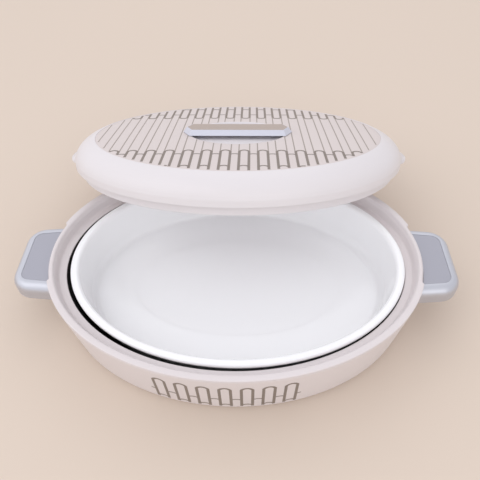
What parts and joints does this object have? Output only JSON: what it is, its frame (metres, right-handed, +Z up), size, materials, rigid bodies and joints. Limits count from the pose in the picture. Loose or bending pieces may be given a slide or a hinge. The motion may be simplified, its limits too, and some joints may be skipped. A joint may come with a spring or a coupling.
{
  "type": "insulated casserole dish",
  "caption": "Oval insulated serving casserole with a lift-out white dish, two side handles and a domed lift-off lid resting open on the back rim.",
  "frame": {"origin": "middle of the flat standing face under the casing", "axes": "+X along the length towards one handle, -Y towards the decorated front, +Z up"},
  "size_m": [0.448, 0.4167, 0.1474],
  "materials": {
    "cream_plastic": "fine matte",
    "lid_plastic": "fine matte",
    "silver_plastic": "satin metallised",
    "inlay_plastic": "satin metallised",
    "glazed_porcelain": "glazed ceramic",
    "foam": "rigid foam",
    "foot_rubber": "matte",
    "screw_steel": "zinc plated"
  },
  "bodies": {
    "casing": {"outer_casing": "cream_plastic", "base_cover": "cream_plastic", "foot_front_left": "foot_rubber", "foot_front_right": "foot_rubber", "foot_rear_left": "foot_rubber", "foot_rear_right": "foot_rubber", "foot_centre": "foot_rubber", "base_screws": "screw_steel", "inner_liner": "cream_plastic", "casing_insulation": "foam", "left_handle_shell": "silver_plastic", "left_handle_top_plate": "inlay_plastic", "left_handle_underside_cover": "silver_plastic", "left_handle_bracket": "cream_plastic", "left_handle_screws": "screw_steel", "right_handle_shell": "silver_plastic", "right_handle_top_plate": "inlay_plastic", "right_handle_underside_cover": "silver_plastic", "right_handle_bracket": "cream_plastic", "right_handle_screws": "screw_steel"},
    "dish": {"serving_dish": "glazed_porcelain"},
    "grip_rod": {"grip_rod": "screw_steel"},
    "lid": {"lid_outer_shell": "lid_plastic", "lid_pattern_plate": "lid_plastic", "lid_grip_pocket": "lid_plastic", "lid_grip_bar": "silver_plastic", "lid_inner_shell": "lid_plastic", "lid_insulation": "foam", "lid_screws": "screw_steel"}
  },
  "joints": [
    {"name": "dish_lift", "type": "slide", "parent": "casing", "child": "dish", "axis": [0, 0, 1], "range_m": [0, 0.08]},
    {"name": "lid_swing", "type": "hinge", "parent": "dish", "child": "grip_rod", "pos_m": [0, 0.07447, 0.10365], "axis": [1, 0, 0], "range_deg": [0, 173.13]},
    {"name": "lid_level", "type": "hinge", "parent": "grip_rod", "child": "lid", "pos_m": [0, 0.14839, 0.11256], "axis": [1, 0, 0], "range_deg": [-154.14, 0]}
  ],
  "couplings": [
    {"joint": "lid_level", "follows": "lid_swing", "ratio": -0.89025}
  ]
}
